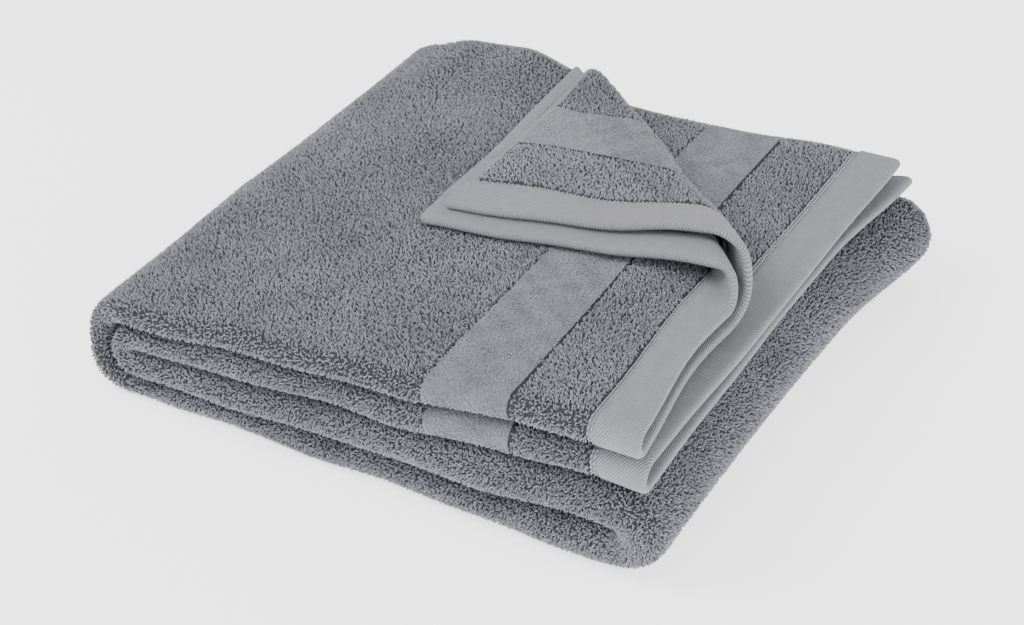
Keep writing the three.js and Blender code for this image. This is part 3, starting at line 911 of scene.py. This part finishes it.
SEAM_ROWS = [HEM_END + 1.1 * MM, SEAM_END - 1.1 * MM]
FAR_ROWS = [TOWEL_LENGTH - at for at in SEAM_ROWS]
inside = HALF_WIDTH - 3 * MM
s, c = rows_of_stitches(SEAM_ROWS, (-FRONT, inside))
stay = past_crease(s, c) < 0
top_stitches = stitches("top_leaf_stitches", s[stay | (c < 0)], c[stay | (c < 0)])
s, c = rows_of_stitches(FAR_ROWS, (-inside, STACK_FRONT))
second_stitches = stitches("second_leaf_stitches", s, c)
s, c = rows_of_stitches(SEAM_ROWS, (-inside, -CORNER))
turned = past_crease(s, c) >= BEND_END[-1]
corner_stitches = stitches("corner_stitches", s[turned], c[turned])
bend_stitches = on_bend(stitches, "corner_bend_stitches", -1, s, c)

# ------------------------------------------------------------------ what each piece moves with
STACK_LOOPS = [front_loops, right_loops, inner_loops, second_loops, second_under_loops]
STACK_EXTRAS = [second_stitches, second_tufts, covered_tufts, *STACK_LOOPS]
TOP_EXTRAS = [top_loops, under_loops, top_tufts, top_under_tufts, top_stitches]
for piece in (base_cloth, *STACK_EXTRAS):
    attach(piece, "folded_stack")
for piece in (top_cloth, *TOP_EXTRAS):
    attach(piece, "top_leaf")
CORNER_EXTRAS = {
    1: [edge_loops, corner_under_loops, corner_under_tufts],
    -1: [corner_loops, corner_tufts, corner_stitches],
}
for side in PLIES:
    for piece in (corner_cloth[side][0], *CORNER_EXTRAS[side]):
        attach(piece, "turned_corner")
WRAP_LOOPS = [wrap_loops, wrap_inner_loops]
for piece in (wrap_cloth, *WRAP_LOOPS):
    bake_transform(piece)


def bend_at_crease(piece, side, k):
    """Fixes a piece of one part of the bend where it lies, after working out the way along the crease and the
    way up from its lower end to its upper one.
    """
    ends = [
        [on_flat(side, PARTS[m], turn * bend_radius(side, PARTS[m])) for m in (k, k + 1)]
        for turn in (0, math.pi)
    ]
    low, high = (
        place(np.array([spot.x for spot in pair]), np.array([spot.y for spot in pair])) for pair in ends
    )
    along = (low[1] + high[1]) - (low[0] + high[0])
    along /= np.linalg.norm(along)
    upward = (high - low).mean(axis=0)
    upward -= along * (upward @ along)
    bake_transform(piece)


BEND_EXTRAS = {1: [lower_bend_loops, bend_under_tufts], -1: [upper_bend_loops, bend_tufts, bend_stitches]}
for side in PLIES:
    for k in range(len(PARTS) - 1):
        bend_at_crease(bend_cloth[side][k][0], side, k)
        for row in BEND_EXTRAS[side]:
            if k in row:
                bend_at_crease(row[k], side, k)

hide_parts(*nodes_of("bottom_", "third_", "second_", "right_", "inner_"))
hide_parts(*nodes_of("outer_"))
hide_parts(*nodes_of("top_"))
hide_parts(*[name for name in nodes_of("corner_") if name.endswith("inner_ply")])
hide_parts(*[name for name in nodes_of("corner_") if name.endswith("outer_ply")])

declare(base_cloth, None, TOWEL_LENGTH - STARTS["bottom"], STACK_EXTRAS)
declare(wrap_cloth, None, STARTS["bottom"] - STARTS["outer"], WRAP_LOOPS)
declare(top_cloth, top_area, STARTS["outer"], TOP_EXTRAS)
for side in PLIES:
    tip = past_crease(np.zeros(1), np.array([HALF_WIDTH]))[0]
    reach = (tip - BEND_END[side]) * math.sqrt(2)
    declare(corner_cloth[side][0], corner_cloth[side][1], reach, CORNER_EXTRAS[side])
    for k, (cloth, area) in enumerate(bend_cloth[side]):
        bend_width = BEND_END[side] - BEND_START
        extras = [row[k] for row in BEND_EXTRAS[side] if k in row]
        declare(cloth, None, area / bend_width, extras)

BEND_CLOTH = [cloth for side in PLIES for cloth, _ in bend_cloth[side]]


# ------------------------------------------------------------------ floor, light and camera
def pale_floor():
    bpy.ops.mesh.primitive_plane_add(size=8, location=(0, 0, 0))
    floor = bpy.context.object
    floor.name = "floor"
    material = bpy.data.materials.new("floor_white")
    material.use_nodes = True
    shader = material.node_tree.nodes["Principled BSDF"]
    shader.inputs["Base Color"].default_value = (0.93, 0.93, 0.93, 1)
    shader.inputs["Roughness"].default_value = 0.9
    shader.inputs["Emission Color"].default_value = (1, 1, 1, 1)
    shader.inputs["Emission Strength"].default_value = 1.6
    floor.data.materials.append(material)


def soft_light(name, place_at, size, power):
    lamp = bpy.data.lights.new(name, "AREA")
    lamp.size = size
    lamp.energy = power
    made = bpy.data.objects.new(name, lamp)
    made.location = place_at
    made.rotation_euler = (Vector((0, 0, 0.05)) - Vector(place_at)).to_track_quat("-Z", "Y").to_euler()
    bpy.context.scene.collection.objects.link(made)


def studio():
    world = bpy.data.worlds.new("studio")
    world.use_nodes = True
    world.node_tree.nodes["Background"].inputs["Color"].default_value = (1, 1, 1, 1)
    world.node_tree.nodes["Background"].inputs["Strength"].default_value = 1.15
    bpy.context.scene.world = world
    soft_light("key", (-1.2, -0.8, 1.8), 1.2, 42)
    soft_light("fill", (1.6, -1.2, 1.3), 1.6, 36)


def photo_camera():
    azimuth, elevation = math.radians(30), math.radians(34.7)
    target = Vector((0.0146, -0.0303, 0.035))
    distance = 1.125
    back = Vector((
        math.sin(azimuth) * math.cos(elevation), -math.cos(azimuth) * math.cos(elevation), math.sin(elevation)
    ))
    lens = bpy.data.cameras.new("photo_camera")
    lens.lens = 70.31
    lens.sensor_width = 36
    camera = bpy.data.objects.new("photo_camera", lens)
    camera.location = target + back * distance
    camera.rotation_euler = (-back).to_track_quat("-Z", "Y").to_euler()
    bpy.context.scene.collection.objects.link(camera)
    bpy.context.scene.camera = camera


pale_floor()
studio()
photo_camera()
